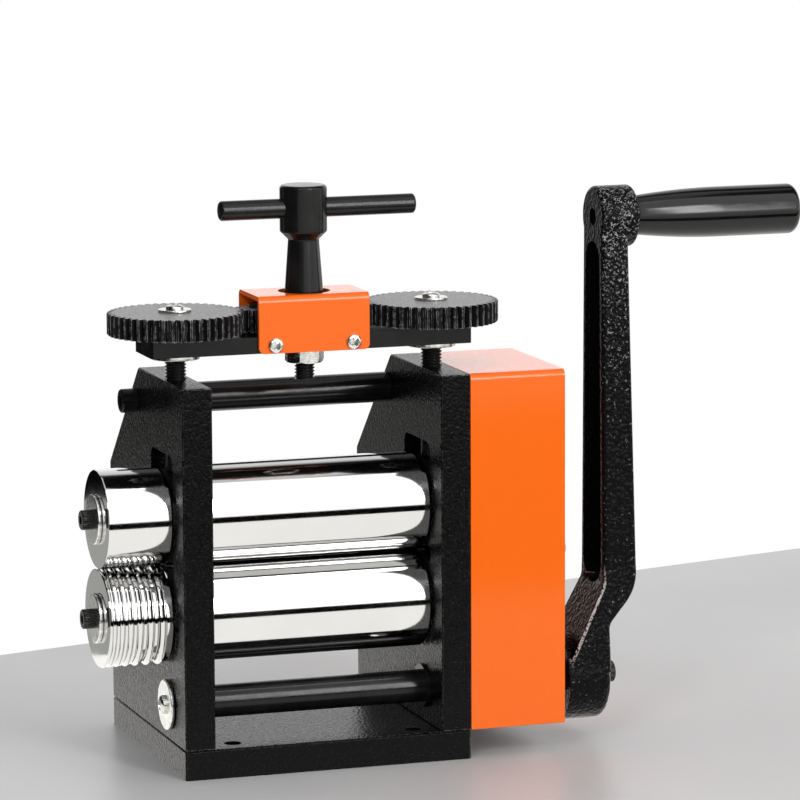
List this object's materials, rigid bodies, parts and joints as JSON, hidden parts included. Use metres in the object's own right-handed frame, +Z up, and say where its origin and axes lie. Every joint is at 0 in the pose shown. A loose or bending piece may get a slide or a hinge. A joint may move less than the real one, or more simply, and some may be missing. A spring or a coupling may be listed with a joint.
{
  "type": "jewellers rolling mill",
  "caption": "Hand cranked rolling mill: twin polished rollers between side frames, grooved wire rollers outside, geared crank, and a T-handled screw train that sets the gap.",
  "frame": {"origin": "centre of the base plate's underside", "axes": "+X along the rollers towards the crank, +Y from the feed side to the rear, +Z up"},
  "size_m": [0.3416, 0.125, 0.2624],
  "materials": {
    "black_powder_coat": "fine-textured black powder coat on thick steel plate",
    "orange_enamel": "glossy orange enamel on sheet steel",
    "chromed_steel": "ground and polished roller steel",
    "black_oxide": "oiled black oxide on turned steel",
    "black_gear_steel": "satin black gear steel with milled teeth",
    "zinc_plate": "bright zinc plate",
    "bearing_bronze": "oiled bearing bronze",
    "block_steel": "blackened steel blocks",
    "spring_steel": "bright spring wire",
    "hammered_black_casting": "glossy black hammered paint on a cast crank",
    "gloss_black_grip": "polished black plastic"
  },
  "bodies": {
    "frame": {"base_plate": "black_powder_coat", "side_frame_left": "black_powder_coat", "side_frame_right": "black_powder_coat", "frame_screws": "black_oxide", "tie_bar": "black_oxide", "tie_bar_screws": "black_oxide", "lower_block_left": "block_steel", "lower_block_right": "block_steel", "lower_bushes": "bearing_bronze", "shaft_bushes": "black_oxide", "return_springs": "spring_steel", "gear_cover": "orange_enamel", "cover_posts": "black_oxide", "cover_screws": "zinc_plate"},
    "upper_carriage": {"upper_block_left": "block_steel", "upper_block_right": "block_steel", "upper_bushes": "bearing_bronze"},
    "upper_roller_set": {"upper_roller": "chromed_steel", "upper_side_roller": "chromed_steel", "upper_side_washer": "zinc_plate", "upper_side_screw": "black_oxide", "upper_roller_gear": "black_gear_steel", "upper_gear_washer": "zinc_plate", "upper_gear_screw": "black_oxide"},
    "lower_roller_set": {"lower_roller": "chromed_steel", "lower_side_roller": "chromed_steel", "lower_side_washer": "zinc_plate", "lower_side_screw": "black_oxide", "lower_roller_gear": "black_gear_steel", "driven_gear": "black_gear_steel", "lower_gear_washer": "zinc_plate", "lower_gear_screw": "black_oxide"},
    "crank": {"drive_shaft": "black_oxide", "drive_pinion": "black_gear_steel", "shaft_end_washer": "zinc_plate", "shaft_end_screw": "zinc_plate", "crank_arm": "hammered_black_casting", "crank_washer": "zinc_plate", "crank_screw": "black_oxide", "grip_bolt": "black_oxide"},
    "grip": {"handle_grip": "gloss_black_grip"},
    "carrier": {"carrier_bar": "black_oxide", "pinion_bracket": "orange_enamel", "bracket_screws": "zinc_plate", "idler_pins": "black_oxide"},
    "t_handle": {"t_spindle": "black_oxide", "cross_bar": "black_oxide", "spindle_pinion": "black_gear_steel", "spindle_nut": "zinc_plate"},
    "idler_left": {"idler_gear_left": "black_gear_steel"},
    "idler_right": {"idler_gear_right": "black_gear_steel"},
    "screw_left": {"pressure_screw_left": "black_oxide", "bar_washer_left": "zinc_plate", "lift_gear_left": "black_gear_steel", "gear_fastener_left": "zinc_plate"},
    "screw_right": {"pressure_screw_right": "black_oxide", "bar_washer_right": "zinc_plate", "lift_gear_right": "black_gear_steel", "gear_fastener_right": "zinc_plate"}
  },
  "joints": [
    {"name": "crank_turn", "type": "hinge", "parent": "frame", "child": "crank", "pos_m": [0, -0.0355, 0.02979], "axis": [1, 0, 0], "continuous": true},
    {"name": "grip_spin", "type": "hinge", "parent": "crank", "child": "grip", "pos_m": [0.18, -0.0355, 0.24299], "axis": [1, 0, 0], "continuous": true},
    {"name": "lower_roller_turn", "type": "hinge", "parent": "frame", "child": "lower_roller_set", "pos_m": [0, -0.028, 0.0701], "axis": [1, 0, 0], "continuous": true},
    {"name": "upper_lift", "type": "slide", "parent": "frame", "child": "upper_carriage", "axis": [0, 0, 1], "range_m": [0, 0.007], "stiffness_N_per_m": 1200, "springref_m": 0.0185, "deforming": ["return_springs"]},
    {"name": "upper_roller_turn", "type": "hinge", "parent": "upper_carriage", "child": "upper_roller_set", "pos_m": [0, -0.028, 0.1153], "axis": [1, 0, 0], "continuous": true},
    {"name": "carrier_lift", "type": "slide", "parent": "frame", "child": "carrier", "axis": [0, 0, 1], "range_m": [0, 0.007]},
    {"name": "handle_turn", "type": "hinge", "parent": "carrier", "child": "t_handle", "pos_m": [0, -0.028, 0.2], "axis": [0, 0, 1], "range_deg": [0, 4387]},
    {"name": "idler_left_turn", "type": "hinge", "parent": "carrier", "child": "idler_left", "pos_m": [-0.02125, -0.028, 0.2], "axis": [0, 0, 1], "range_deg": [-4936, 0]},
    {"name": "idler_right_turn", "type": "hinge", "parent": "carrier", "child": "idler_right", "pos_m": [0.02125, -0.028, 0.2], "axis": [0, 0, 1], "range_deg": [-4936, 0]},
    {"name": "screw_left_turn", "type": "hinge", "parent": "carrier", "child": "screw_left", "pos_m": [-0.06062, -0.028, 0.2], "axis": [0, 0, 1], "range_deg": [0, 1681]},
    {"name": "screw_right_turn", "type": "hinge", "parent": "carrier", "child": "screw_right", "pos_m": [0.06062, -0.028, 0.2], "axis": [0, 0, 1], "range_deg": [0, 1681]}
  ],
  "couplings": [
    {"joint": "lower_roller_turn", "follows": "crank_turn", "ratio": -0.41379},
    {"joint": "upper_roller_turn", "follows": "crank_turn", "ratio": 0.41379},
    {"joint": "handle_turn", "follows": "carrier_lift", "rad_per_m": 10937},
    {"joint": "idler_left_turn", "follows": "carrier_lift", "rad_per_m": -12305},
    {"joint": "idler_right_turn", "follows": "carrier_lift", "rad_per_m": -12305},
    {"joint": "screw_left_turn", "follows": "carrier_lift", "rad_per_m": 4188.8},
    {"joint": "screw_right_turn", "follows": "carrier_lift", "rad_per_m": 4188.8},
    {"joint": "upper_lift", "follows": "carrier_lift", "ratio": 1}
  ]
}
